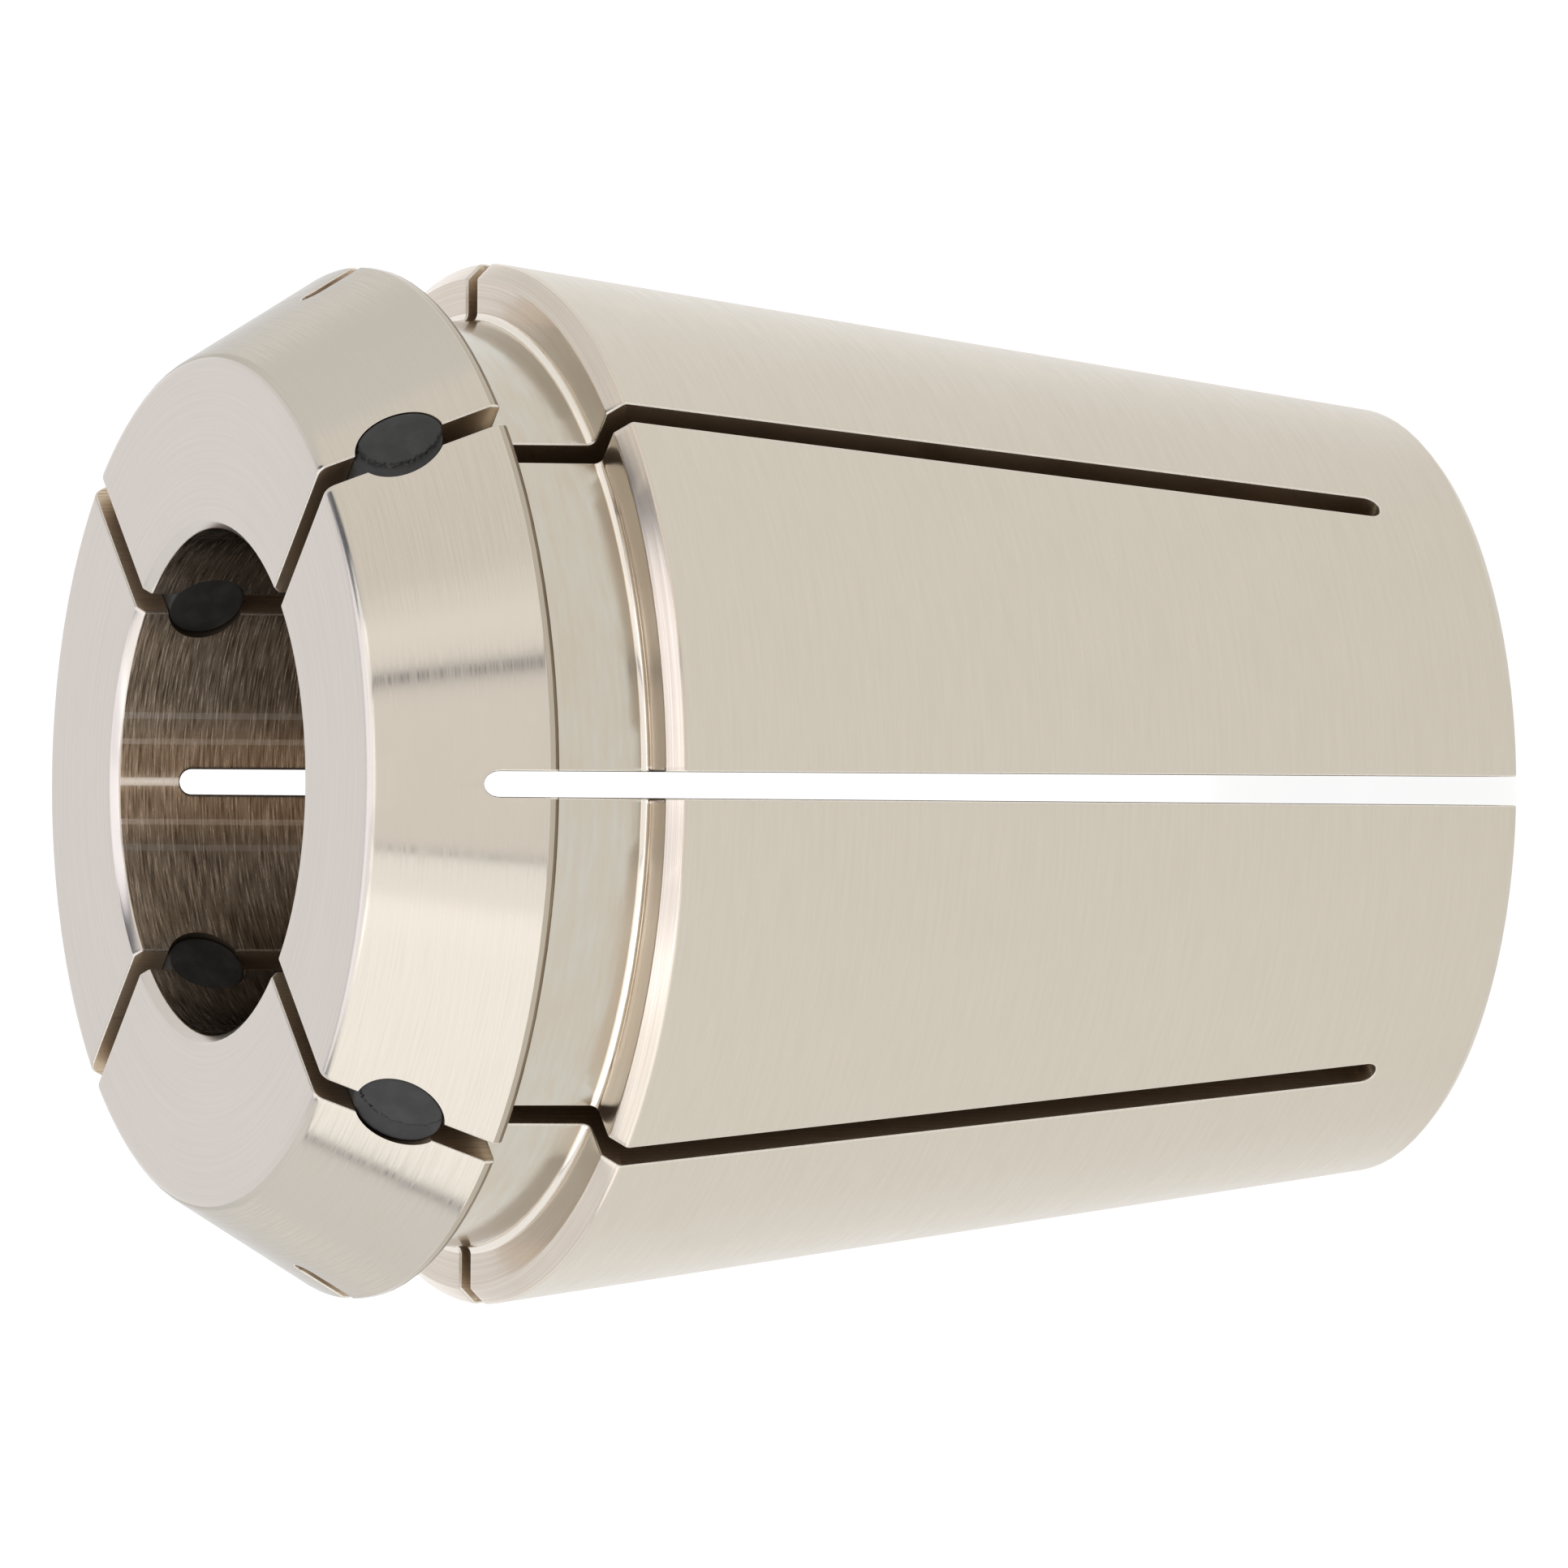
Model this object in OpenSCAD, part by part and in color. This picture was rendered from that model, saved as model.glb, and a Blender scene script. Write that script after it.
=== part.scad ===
// Sealed tapping collet: one slotted steel body with a round shank bore at the nose,
// a square drive socket at the rear, and four rubber plugs that seal the front slots.
// The axis is Z. The rear face is at z = 0 and the nose face points to +Z.

/* [Body] */
// Overall length, from the rear face to the nose face
body_length = 40; // [36:0.5:46]
// Diameter of the clamping taper at its big end
big_end_d = 33; // [31.5:0.5:35]
// Half angle of the clamping taper, in degrees
taper_angle = 8; // [6:0.5:9]
// Chamfer on the outer edge of the rear face
rear_chamfer = 0.3; // [0.1:0.1:0.8]

/* [Nose] */
// Diameter of the nose at its rim
rim_d = 32.6; // [31:0.2:34]
// Half angle of the nose cone, in degrees
cone_angle = 30; // [24:1:36]
// Length of the nose cone along the axis
cone_length = 4.95; // [4.5:0.05:6]
// Width of the straight land on the rim
rim_land = 0.35; // [0.1:0.05:0.6]
// Radius of the edge between the nose face and the cone
face_edge_r = 0.5; // [0.2:0.1:1]

/* [Extraction groove] */
// Diameter of the groove's floor
groove_d = 29.3; // [27.6:0.1:30]
// Width of the groove along the axis
groove_width = 3.65; // [3:0.05:5]
// Radius in the two corners of the groove's floor
groove_fillet = 0.25; // [0.05:0.05:0.5]
// Chamfer between the groove's rear wall and the taper
shoulder_chamfer = 0.5; // [0.1:0.05:1]

/* [Bore and socket] */
// Diameter of the bore that grips the tool's shank
bore_d = 16; // [14:0.5:18]
// Depth of the bore from the nose face
bore_depth = 24; // [18:1:30]
// Chamfer at the mouth of the bore
bore_chamfer = 0.25; // [0.1:0.05:0.6]
// Width across the flats of the square drive socket
socket_flats = 12.5; // [9:0.5:13]
// Radius in the corners of the square drive socket
socket_corner_r = 0.4; // [0.2:0.1:1]

/* [Slots] */
// Width of the slots that start at the nose face
front_slot_w = 0.8; // [0.5:0.05:1.2]
// Width of the slots that start at the rear face, at their closed end
rear_slot_w = 0.8; // [0.5:0.05:1.2]
// Extra width of the rear slots at the rear face, where the fingers spring open
rear_slot_spread = 0.1; // [0:0.02:0.3]
// Distance from the rear face to the deepest point of the front slots, on the axis
front_slot_stop = 2.7; // [2:0.1:5]
// Distance from the nose face to the deepest point of the rear slots, on the axis
rear_slot_stop = 2; // [1.5:0.1:3]
// Diameter of the saw that cuts the slots, which gives their ends a slow curve
saw_d = 200; // [160:10:260]

/* [Seal plugs] */
// Diameter of a rubber seal plug
plug_d = 2.5; // [1.6:0.1:2.8]
// Distance from the nose face to the centre line of the plugs
plug_setback = 2.3; // [2:0.1:2.6]
// Angle from the middle of a front slot round to the centre line of its plug, in degrees
plug_turn = 0.9; // [0:0.1:2]
// Gap between a plug and the wall of its hole
plug_gap = 0.02; // [0.01:0.01:0.05]
// How far the inner end of a plug stays behind the wall of the bore
plug_recess = 0.1; // [0:0.05:0.4]

/* [Hidden] */
$fn = 96;
saw_fn = 360;
steel_colour = "#D0C8BB";
rubber_colour = "#3B3B3D";
// One plug sits in each front slot, a quarter turn apart, and half of that from the rear slots
plug_count = 4;
quarter_turn = 360 / plug_count;
front_turn = quarter_turn / 2;
// How far a cut runs past the surface that it opens
past = 1;

big_end_r = big_end_d / 2;
rim_r = rim_d / 2;
groove_r = groove_d / 2;
bore_r = bore_d / 2;
saw_r = saw_d / 2;

// Heights of the turned profile, from the nose face down
rim_top_z = body_length - cone_length;
groove_top_z = rim_top_z - rim_land;
groove_bottom_z = groove_top_z - groove_width;
big_end_z = groove_bottom_z - shoulder_chamfer;
plug_z = body_length - plug_setback;
socket_top_z = body_length - bore_depth;

face_r = rim_r - cone_length * tan(cone_angle);
rear_r = big_end_r - big_end_z * tan(taper_angle);
rear_chamfer_r = rear_r + rear_chamfer * tan(taper_angle);

// Distance from the sharp corner of face and cone to where its round edge starts
face_edge_reach = face_edge_r * tan((90 - cone_angle) / 2);
hole_d = plug_d + 2 * plug_gap;

// Filler for an inner corner of the section: a square less the disc that rolls in the corner.
// The square lies above its corner if side is 1 and below it if side is -1.
module inner_corner(radius, side) {
  difference() {
    translate([0, min(side, 0) * radius]) square(radius);
    translate([radius, side * radius]) circle(r = radius);
  }
}

// What is turned off the sharp corner of face and cone to leave a round edge
module face_edge_waste() {
  centre = [face_r - face_edge_reach, body_length - face_edge_r];
  on_face = [face_r - face_edge_reach, body_length];
  on_cone = [
    face_r + face_edge_reach * sin(cone_angle),
    body_length - face_edge_reach * cos(cone_angle)
  ];
  difference() {
    polygon([[face_r, body_length], on_face, centre, on_cone]);
    translate(centre) circle(r = face_edge_r);
  }
}

// Half section of the turned blank, from the axis out
module blank_section() {
  difference() {
    union() {
      polygon([
        [0, 0],
        [rear_chamfer_r - rear_chamfer, 0],
        [rear_chamfer_r, rear_chamfer],
        [big_end_r, big_end_z],
        [big_end_r - shoulder_chamfer, groove_bottom_z],
        [groove_r, groove_bottom_z],
        [groove_r, groove_top_z],
        [rim_r, groove_top_z],
        [rim_r, rim_top_z],
        [face_r, body_length],
        [0, body_length]
      ]);
      translate([groove_r, groove_bottom_z]) inner_corner(groove_fillet, 1);
      translate([groove_r, groove_top_z]) inner_corner(groove_fillet, -1);
    }
    face_edge_waste();
  }
}

module turned_blank() {
  rotate_extrude() blank_section();
}

// Round bore for the shank, open at the nose, with its mouth chamfer
module shank_bore() {
  translate([0, 0, socket_top_z]) cylinder(r = bore_r, h = bore_depth + past);
  translate([0, 0, body_length - bore_chamfer])
    cylinder(r1 = bore_r, r2 = bore_r + bore_chamfer + past, h = bore_chamfer + past);
}

// Square with round corners, made of two bars and four discs
module round_square(width, radius) {
  inner = width - 2 * radius;
  square([width, inner], center = true);
  square([inner, width], center = true);
  for (x = [-1, 1], y = [-1, 1])
    translate([x * inner / 2, y * inner / 2]) circle(r = radius);
}

// Square socket that drives the tool, open at the rear face
module drive_socket() {
  translate([0, 0, -past])
    linear_extrude(height = socket_top_z + 2 * past)
      round_square(socket_flats, socket_corner_r);
}

// Track of a slitting saw with a full round rim. Its deepest point is at the origin, it opens
// towards +Z, and it passes right across the body, so one track makes two opposite slots.
// It gets wider by the spread over the given depth.
module saw_track(width, depth, spread) {
  reach = depth + past;
  open_w = width + spread * reach / depth;
  translate([0, 0, saw_r]) rotate([90, 0, 0]) rotate_extrude($fn = saw_fn) {
    polygon([
      [saw_r - reach, -open_w / 2],
      [saw_r - width / 2, -width / 2],
      [saw_r - width / 2, width / 2],
      [saw_r - reach, open_w / 2]
    ]);
    translate([saw_r - width / 2, 0]) circle(d = width);
  }
}

module front_slots() {
  for (turn = [0, quarter_turn])
    rotate([0, 0, front_turn + turn])
      translate([0, 0, front_slot_stop])
        saw_track(front_slot_w, body_length - front_slot_stop, 0);
}

module rear_slots() {
  for (turn = [0, quarter_turn])
    rotate([0, 0, turn])
      translate([0, 0, body_length - rear_slot_stop])
        rotate([180, 0, 0])
          saw_track(rear_slot_w, body_length - rear_slot_stop, rear_slot_spread);
}

// Rod on the centre line of one plug, from start_r out past the rim
module plug_line(index, diameter, start_r) {
  rotate([0, 90, front_turn + plug_turn + index * quarter_turn])
    translate([-plug_z, 0, start_r]) cylinder(d = diameter, h = rim_r + past - start_r);
}

module collet_body() {
  color(steel_colour) difference() {
    turned_blank();
    shank_bore();
    drive_socket();
    front_slots();
    rear_slots();
    for (index = [0:plug_count - 1]) plug_line(index, hole_d, bore_r / 2);
  }
}

// Rubber plug, ground flush with the nose cone and set back from the bore
module seal_plug(index) {
  color(rubber_colour) intersection() {
    turned_blank();
    plug_line(index, plug_d, bore_r + plug_recess);
  }
}

module seal_plug_1() {
  seal_plug(0);
}

module seal_plug_2() {
  seal_plug(1);
}

module seal_plug_3() {
  seal_plug(2);
}

module seal_plug_4() {
  seal_plug(3);
}

collet_body();
seal_plug_1();
seal_plug_2();
seal_plug_3();
seal_plug_4();
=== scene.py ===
"""Sealed tapping collet: the finished steel body, its four rubber plugs, a pale floor and soft studio light.

The body is one fine surface with the broken edges that the CAD solid leaves sharp. Lengths inside the functions
are in millimetres and angles in radians, and each mesh is written in metres.
"""

import bmesh
import bpy
import numpy as np
from mathutils import Matrix, Vector


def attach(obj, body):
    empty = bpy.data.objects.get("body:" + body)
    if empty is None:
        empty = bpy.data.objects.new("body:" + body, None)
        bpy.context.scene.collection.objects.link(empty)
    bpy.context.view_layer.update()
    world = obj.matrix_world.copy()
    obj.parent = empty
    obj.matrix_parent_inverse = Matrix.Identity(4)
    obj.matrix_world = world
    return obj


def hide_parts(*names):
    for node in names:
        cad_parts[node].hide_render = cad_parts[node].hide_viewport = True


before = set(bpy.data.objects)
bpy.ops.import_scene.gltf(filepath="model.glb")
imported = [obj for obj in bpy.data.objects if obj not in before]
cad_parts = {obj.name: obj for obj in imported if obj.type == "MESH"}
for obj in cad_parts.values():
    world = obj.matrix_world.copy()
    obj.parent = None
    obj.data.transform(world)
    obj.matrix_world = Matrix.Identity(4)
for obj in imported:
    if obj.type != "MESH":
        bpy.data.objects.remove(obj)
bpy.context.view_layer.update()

MM = 0.001

# Sizes of the turned body, as in the CAD model
LENGTH = 40.0
BIG_END_R = 16.5
BIG_END_Z = 30.55
NECK_R = 14.65
NECK_LOW_Z = 31.05
NECK_HIGH_Z = 34.7
RIM_R = 16.3
RIM_TOP_Z = 35.05
SHOULDER_CHAMFER = 0.5
REAR_CHAMFER = 0.3
BORE_R = 8.0
BORE_BOTTOM_Z = 16.0
BORE_CHAMFER = 0.25
TAPER_SLOPE = np.tan(np.radians(8))
CONE_SLOPE = np.tan(np.radians(30))
REAR_R = BIG_END_R - BIG_END_Z * TAPER_SLOPE + REAR_CHAMFER * TAPER_SLOPE
FACE_R = RIM_R - (LENGTH - RIM_TOP_Z) * CONE_SLOPE
# The body is first made with a round hole down to the rear face, and the square socket is cut out of that
PILOT_R = 5.0
SOCKET_FLATS = 12.5
SOCKET_CORNER_R = 0.4

# Slots: full round saw, half its width, and the heights of the two closed ends on the axis
SAW_R = 100.0
SLOT_HALF = 0.4
REAR_SLOT_TOP_Z = 38.0
FRONT_SLOT_LOW_Z = 2.7
# How much each side of a rear slot opens, per millimetre away from its closed end
REAR_SLOT_OPENING = 0.00133
# The edge break that deburring leaves along a slot
EDGE_BREAK = 0.06

PLUG_COUNT = 4
PLUG_R = 1.25
HOLE_R = 1.27
PLUG_Z = 37.7
PLUG_INNER_R = 8.1
PLUG_RIM = 0.09
# Angle from the middle of a front slot round to its plug
PLUG_TURN = np.radians(0.9)
# The raised disc that the grinding wheel left on each plug: its centre up and sideways from the plug's axis, and
# its radius. The rubber gave way to the wheel, so a lower crescent is left on the trailing side.
RAISED_DISCS = [(0.0, 0.6, 1.3), (-0.05, 0.5, 1.24), (0.05, 0.9, 1.3), (-0.1, 0.42, 1.18)]
CRESCENT_DEPTH = 0.14
CRESCENT_RIM = 0.04
# Waves that make the disc's edge ragged: how many go round it, their height, and their shift from plug to plug
RAGGED_WAVES = [(17, 0.02, 1), (41, 0.014, 0), (73, 0.01, 0)]
# How badly the wheel tore each plug along its step, which also sets how much painted shade darkens the step there,
# from 0 to 1, and half the width of that line
PLUG_TEARS_AND_SHADE = [0.8, 0.8, 1.0, 0.55]
TEAR_AND_SHADE_WIDTH = 0.045

# Fineness of the mesh: steps across a broken edge, across a slot wall and across one eighth of the skin, points on
# the quarter circle at a slot's closed end and on a corner's arc, and samples in the search for a closed end
EDGE_STEPS = 3
ACROSS = 10
AROUND = 18
END_ANGLES = np.linspace(0, np.pi / 2, 9)
ARC_POINTS = 25
SEARCH_SAMPLES = 4000
# Steps round a plug, across its flat end and round its rim, and corners of the rods that cut the plugs' holes
PLUG_AROUND = 128
PLUG_ACROSS = 44
PLUG_RIM_STEPS = 6
HOLE_CORNERS = 64
CORNER_STEPS = 8
# How far the cutting tools run past the surface that they open
CUT_PAST = 1.0
# How far the columns of the skin are drawn towards both slots, where the closed ends need them
DRAWN_TO_SLOTS = 0.12
# Heights between which the bore's rows are spread, from its bottom corner to the closed ends of the rear slots. They
# keep below the groove's rear wall and above its front wall, so no two rows cross in a slot wall.
BORE_ROW_HEIGHTS = [16.3, 29.0, 30.95, 34.95, 35.8, 36.9]
# Points closer than this are one point, in metres, and an edge that bends more than this is shaded sharp
WELD = 1e-7
SHARP_BEND = np.radians(35)

# The body's finishes, in the order of its material slots
FINISHES = ["ground taper", "turned shoulder", "burnished fillet with painted highlight", "turned neck", "rim edge with painted shade", "ground land",
            "ground cone", "faced end", "honed bore", "sawn slot", "broken edge", "broached socket"]


# Surfaces of the steel body

def half_section(corners, side):
    """A half section through corners of (radius, height, rounding), each but the first and last made an arc.

    On an arc the direction of travel turns at an even rate, and a point is the arc's centre plus the rounding along
    the normal of that direction. side is 1 where steel lies to the left of the travel, -1 where it lies to the
    right. Returns the distances travelled, the points and their outward normals.
    """
    corners = np.array(corners, float)
    roundings, corners = corners[1:-1, 2], corners[:, :2]
    points, normals = [], []
    for before, corner, after, rounding in zip(corners, corners[1:], corners[2:], roundings):
        come = (corner - before) / np.linalg.norm(corner - before)
        leave = (after - corner) / np.linalg.norm(after - corner)
        bend = np.arctan2(come[0] * leave[1] - come[1] * leave[0], come @ leave)
        t = np.linspace(0, bend, ARC_POINTS)[:, None]
        travel = come * np.cos(t) + np.array([-come[1], come[0]]) * np.sin(t)
        right = np.stack([travel[:, 1], -travel[:, 0]], 1)
        start = corner - come * rounding * np.tan(abs(bend) / 2)
        points.append(start + np.sign(bend) * rounding * (right - right[0]))
        normals.append(side * right)
    points = np.concatenate([corners[:1], *points, corners[-1:]])
    normals = np.concatenate([normals[0][:1], *normals, normals[-1][-1:]])
    travelled = np.concatenate([[0], np.cumsum(np.linalg.norm(np.diff(points, axis=0), axis=1))])
    return travelled, points, normals


# The names of the arcs of each section, in their order
(REAR_EDGE, CHAMFER_EDGE, BIG_END, SHOULDER, LOW_FILLET, HIGH_FILLET, RIM_REAR, RIM_FRONT, FACE_EDGE) = range(9)
OUTER = half_section([
    (PILOT_R, 0, 0),
    (REAR_R - REAR_CHAMFER, 0, 0.12),
    (REAR_R, REAR_CHAMFER, 0.15),
    (BIG_END_R, BIG_END_Z, 0.2),
    (BIG_END_R - SHOULDER_CHAMFER, NECK_LOW_Z, 0.12),
    (NECK_R, NECK_LOW_Z, 0.25),
    (NECK_R, NECK_HIGH_Z, 0.25),
    (RIM_R, NECK_HIGH_Z, 0.17),
    (RIM_R, RIM_TOP_Z, 0.1),
    (FACE_R, LENGTH, 0.5),
    (BORE_R + 1, LENGTH, 0),
], side=1)
PILOT_MOUTH, PILOT_TOP, BORE_CORNER, BORE_MOUTH, MOUTH_EDGE = range(5)
INNER = half_section([
    (REAR_R, 0, 0),
    (PILOT_R, 0, 0.12),
    (PILOT_R, BORE_BOTTOM_Z, 0.2),
    (BORE_R, BORE_BOTTOM_Z, 0.15),
    (BORE_R, LENGTH - BORE_CHAMFER, 0.12),
    (BORE_R + BORE_CHAMFER, LENGTH, 0.12),
    (FACE_R, LENGTH, 0),
], side=-1)
SECTIONS = OUTER, INNER
OUTSIDE, INSIDE = 0, 1


def on_section(section, travelled, depth=0.0):
    """Points of the section at these distances along it, sunk by depth below the surface."""
    s, points, normals = section
    point = np.stack([np.interp(travelled, s, points[:, axis]) for axis in (0, 1)], -1)
    normal = np.stack([np.interp(travelled, s, normals[:, axis]) for axis in (0, 1)], -1)
    return point - depth * normal


def on_arc(section, arc, steps):
    """Evenly spaced distances along an arc of the section, both ends included."""
    s = section[0]
    return np.linspace(s[1 + ARC_POINTS * arc], s[ARC_POINTS * (arc + 1)], steps + 1)


def at_height(section, arc, height):
    """Distance along the section to a height on the straight that follows the given arc."""
    s, points, _ = section
    ends = [ARC_POINTS * (arc + 1), ARC_POINTS * (arc + 1) + 1]
    return np.interp(height, points[ends, 1], s[ends])


class Saw:
    """The track of one saw, seen in its own plane: x runs out from the axis, y is the distance from the plane.

    A point of the track is q from the saw's axis, where q^2 = x^2 + (z - centre)^2. The side is at
    y = half width + opening * (q_end - q), and the closed end is a half circle of the half width about q_end.
    The windows are the distances along the outer and the inner section between which the closed end meets them.
    """

    def __init__(self, end_z, upward, opening, windows):
        self.upward, self.opening, self.windows = upward, opening, windows
        self.centre = end_z - SAW_R if upward else end_z + SAW_R
        self.end_q = SAW_R - SLOT_HALF
        self.end_angles = END_ANGLES if upward else END_ANGLES[::-1]

    def beside(self, section_points, extra):
        """Points of the section turned round the axis until they are extra beyond the slot's side.

        The side depends on q and q on y, and three rounds settle both.
        """
        r, z = section_points[..., 0], section_points[..., 1]
        y = SLOT_HALF + extra
        for _ in range(3):
            q = np.sqrt(r**2 - y**2 + (z - self.centre) ** 2)
            y = SLOT_HALF + self.opening * np.maximum(self.end_q - q, 0) + extra
        return np.stack([np.sqrt(r**2 - y**2), y, z], -1)

    def round_end(self, side, extra, depth):
        """Distances along the section of this side, and points, where the closed end meets it.

        At each end angle t, y = (half width + extra) cos t and q = q_end + (half width + extra) sin t.
        """
        s = np.linspace(*self.windows[side], SEARCH_SAMPLES)
        r, z = on_section(SECTIONS[side], s, depth).T
        y = (SLOT_HALF + extra) * np.cos(self.end_angles)
        wanted = self.end_q + (SLOT_HALF + extra) * np.sin(self.end_angles)
        q = np.sqrt(r**2 - y[:, None] ** 2 + (z - self.centre) ** 2)
        order = slice(None) if self.upward else slice(None, None, -1)
        s = np.array([np.interp(w, row[order], s[order]) for w, row in zip(wanted, q)])
        r, z = on_section(SECTIONS[side], s, depth).T
        return s, np.stack([np.sqrt(r**2 - y**2), y, z], -1)


REAR_SAW = Saw(REAR_SLOT_TOP_Z, True, REAR_SLOT_OPENING,
               [at_height(OUTER, RIM_FRONT, [35.2, 39.3]), at_height(INNER, BORE_CORNER, [30.0, 39.5])])
FRONT_SAW = Saw(FRONT_SLOT_LOW_Z, False, 0.0,
                [at_height(OUTER, CHAMFER_EDGE, [0.8, 8.0]), at_height(INNER, PILOT_MOUTH, [0.3, 8.0])])


def lay_rows(parts):
    """Distances of mesh rows along a section, and the number of the first row of each part.

    A part is an array of distances, or how many rows are spaced evenly between its two neighbours.
    """
    found = list(parts.values())
    for i, part in enumerate(found):
        if np.ndim(part) == 0:
            found[i] = np.linspace(found[i - 1][-1], found[i + 1][0], part + 2)[1:-1]
    starts = np.cumsum([0] + [len(part) for part in found])
    return np.concatenate(found), dict(zip(parts, starts))


def body_rows():
    """The mesh rows along the outer and the inner section, from the rear face to the nose face.

    Both sections have the same number of rows, and the rows round the closed ends have the same numbers in both, so
    a slot wall is ruled from one to the other. Returns the distances of both, the numbers of the end rows of the
    front and of the rear slots, and for both sections the rows where the finishes start.
    """
    low, high = (saw.round_end(OUTSIDE, EDGE_BREAK, 0)[0] for saw in (FRONT_SAW, REAR_SAW))
    outer, first = lay_rows({
        "rear edge": on_arc(OUTER, REAR_EDGE, 4), "chamfer edge": on_arc(OUTER, CHAMFER_EDGE, 3), "rear of taper": 1,
        "low ends": low, "taper": 12, "big end": on_arc(OUTER, BIG_END, 4), "shoulder": on_arc(OUTER, SHOULDER, 4),
        "rear wall": 1, "low fillet": on_arc(OUTER, LOW_FILLET, 5), "neck": 3,
        "high fillet": on_arc(OUTER, HIGH_FILLET, 5), "front wall": 1, "rim's rear": on_arc(OUTER, RIM_REAR, 4),
        "rim's front": on_arc(OUTER, RIM_FRONT, 3), "foot of cone": 1, "high ends": high, "cone": 2,
        "face edge": on_arc(OUTER, FACE_EDGE, 6)})

    low, high = (saw.round_end(INSIDE, EDGE_BREAK, 0)[0] for saw in (FRONT_SAW, REAR_SAW))
    pilot_mouth, bore_mouth, mouth_edge = (
        on_arc(INNER, arc, steps) for arc, steps in ((PILOT_MOUTH, 2), (BORE_MOUTH, 3), (MOUTH_EDGE, 3)))
    below, _ = lay_rows({
        "pilot mouth": pilot_mouth, "pilot": first["low ends"] - len(pilot_mouth), "low ends": low,
        "upper pilot": 3, "pilot top": on_arc(INNER, PILOT_TOP, 3), "step": 1,
        "bore corner": on_arc(INNER, BORE_CORNER, 3)})
    heights = np.interp(np.arange(len(below), first["high ends"]),
                        [len(below) - 1, first["big end"] - 1, first["neck"] - 1, first["high fillet"],
                         first["foot of cone"] - 1, first["high ends"]], BORE_ROW_HEIGHTS)
    above, _ = lay_rows({
        "bore": at_height(INNER, BORE_CORNER, heights), "high ends": high,
        "top of bore": len(outer) - first["cone"] - len(bore_mouth) - len(mouth_edge),
        "bore mouth": bore_mouth, "mouth edge": mouth_edge})

    end_rows = np.arange(len(END_ANGLES))
    outer_starts = [
        (0, "ground taper"), (first["big end"] + 2, "turned shoulder"), (first["low fillet"], "burnished fillet with painted highlight"),
        (first["neck"] - 1, "turned neck"), (first["high fillet"], "turned shoulder"),
        (first["rim's rear"], "rim edge with painted shade"), (first["rim's front"] - 1, "ground land"),
        (first["rim's front"] + 1, "ground cone"), (first["face edge"] + 3, "faced end")]
    inner_starts = [
        (0, "broached socket"), (len(below) - 2, "honed bore"),
        (len(outer) - len(mouth_edge) - len(bore_mouth) + 1, "faced end")]
    return ((outer, np.concatenate([below, above])), first["low ends"] + end_rows, first["high ends"] + end_rows,
            (outer_starts, inner_starts))


ROWS, LOW_ROWS, HIGH_ROWS, FINISH_STARTS = body_rows()
LAST = len(ROWS[OUTSIDE]) - 1
ACROSS_PART = np.linspace(0, 1, ACROSS + 1)


def end_rows_of(saw):
    """Numbers of the rows round this saw's closed ends."""
    return HIGH_ROWS if saw.upward else LOW_ROWS


def open_rows(saw):
    """Row numbers from the slot's closed end to the face where it is open."""
    return np.arange(HIGH_ROWS[-1], -1, -1) if saw.upward else np.arange(LOW_ROWS[0], LAST + 1)


def beside_slot(saw, extra, depth):
    """All rows of the outer and inner section beside one slot, extra from its side and sunk by depth."""
    found = []
    for side in (OUTSIDE, INSIDE):
        points = saw.beside(on_section(SECTIONS[side], ROWS[side], depth), extra)
        points[end_rows_of(saw)] = saw.round_end(side, extra, depth)[1]
        found.append(points)
    return found


def across_face(saw, extra, depth):
    """Points across the flat face that the slot opens, from the outer to the inner section, ends left out."""
    row, inward = (0, 1) if saw.upward else (LAST, -1)
    outside, inside = (on_section(SECTIONS[side], ROWS[side][row]) for side in (OUTSIDE, INSIDE))
    flat = outside + (inside - outside) * ACROSS_PART[1:-1, None]
    return saw.beside(flat + [0, inward * depth], extra)


def slot_edge(saw):
    """The broken edge along a slot: a quarter circle of the edge break, carried along the slot's outline.

    At angle t the point is EDGE_BREAK * (1 - sin t) beyond the slot's side and EDGE_BREAK * (1 - cos t) deep.
    """
    lines, rows = [], open_rows(saw)
    for t in np.linspace(np.pi / 2, 0, EDGE_STEPS + 1):
        extra, depth = EDGE_BREAK * (1 - np.sin(t)), EDGE_BREAK * (1 - np.cos(t))
        outside, inside = beside_slot(saw, extra, depth)
        lines.append(np.concatenate([outside[rows], across_face(saw, extra, depth), inside[rows][::-1]]))
    return np.stack(lines, 1)


def slot_wall(saw):
    """One side and half the closed end of a slot, ruled from the outer to the inner section.

    On the closed end the height follows the saw's circle: z = centre +- sqrt(q^2 - x^2).
    """
    outside, inside = beside_slot(saw, 0.0, EDGE_BREAK)
    radii = [np.hypot(points[:, 0], points[:, 1]) for points in (outside, inside)]
    r = radii[0][:, None] + (radii[1] - radii[0])[:, None] * ACROSS_PART
    z = outside[:, None, 2] + (inside - outside)[:, None, 2] * ACROSS_PART
    points = saw.beside(np.stack([r, z], -1), 0.0)
    end_rows = end_rows_of(saw)
    y = np.repeat(SLOT_HALF * np.cos(saw.end_angles)[:, None], ACROSS + 1, 1)
    q = saw.end_q + SLOT_HALF * np.sin(saw.end_angles)[:, None]
    x = np.sqrt(r[end_rows] ** 2 - y**2)
    rise = np.sqrt(q**2 - x**2)
    points[end_rows] = np.stack([x, y, saw.centre + (rise if saw.upward else -rise)], -1)
    points[:, 0], points[:, -1] = outside, inside
    return points[np.sort(open_rows(saw))]


def azimuth(points):
    """The angle of each point about the axis, from +X towards +Y."""
    return np.arctan2(points[..., 1], points[..., 0])


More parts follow.
